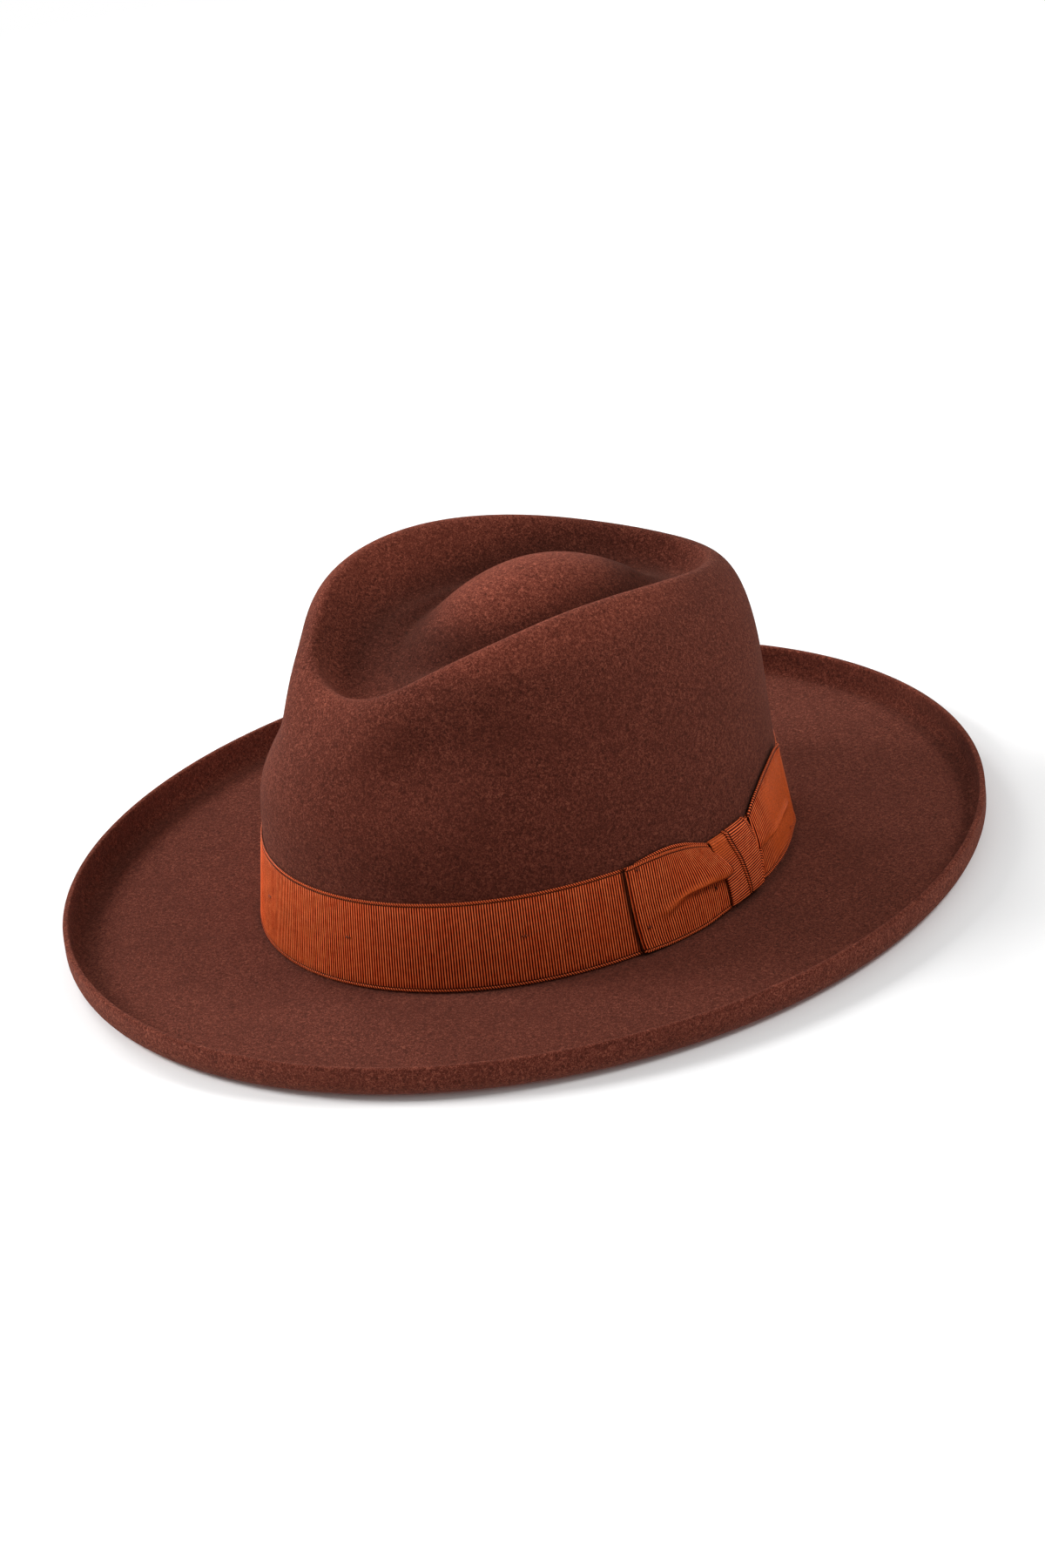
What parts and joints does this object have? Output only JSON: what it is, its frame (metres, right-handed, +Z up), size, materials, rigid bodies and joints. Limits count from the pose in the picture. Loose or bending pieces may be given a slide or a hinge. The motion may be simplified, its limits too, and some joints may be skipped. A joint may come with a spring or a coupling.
{
  "type": "felt hat",
  "caption": "Wide-brim felt hat with a teardrop crown, upturned curled brim, ribbed ribbon band with flat bow, leather sweatband and lining.",
  "frame": {"origin": "centre of the head opening, on the flat underside of the brim", "axes": "+X towards the wearer's left, where the bow is; -Y towards the front of the hat; +Z up through the crown"},
  "size_m": [0.3106, 0.3536, 0.1233],
  "materials": {
    "felt": "short-napped felt",
    "grosgrain": "ribbed ribbon",
    "thread": "twisted thread",
    "sweatband_leather": "smooth leather",
    "seam_tape": "plain woven tape",
    "label_cloth": "woven label",
    "reed": "drawn plastic",
    "satin": "satin",
    "piping": "corded"
  },
  "bodies": {
    "hat_body": {"felt_body": "felt", "ribbon_band": "grosgrain", "bow_front_wing": "grosgrain", "bow_front_fold": "grosgrain", "bow_knot": "grosgrain", "bow_back_wing": "grosgrain", "bow_back_fold": "grosgrain", "bow_tack_stitches": "thread", "band_tack_stitches": "thread", "sweatband_reed": "reed", "sweatband_welt": "seam_tape", "sweatband_stitching": "thread", "lining_side": "satin", "lining_tip": "satin", "lining_piping": "piping"},
    "sweatband_leather": {"sweatband": "sweatband_leather", "sweatband_back_seam": "seam_tape", "sweatband_bow_loops": "grosgrain", "sweatband_bow_knot": "grosgrain", "size_label": "label_cloth"}
  },
  "joints": [
    {"name": "sweatband_turn_out", "type": "slide", "parent": "hat_body", "child": "sweatband_leather", "axis": [0, 0, -1], "range_m": [0, 0.045]}
  ]
}
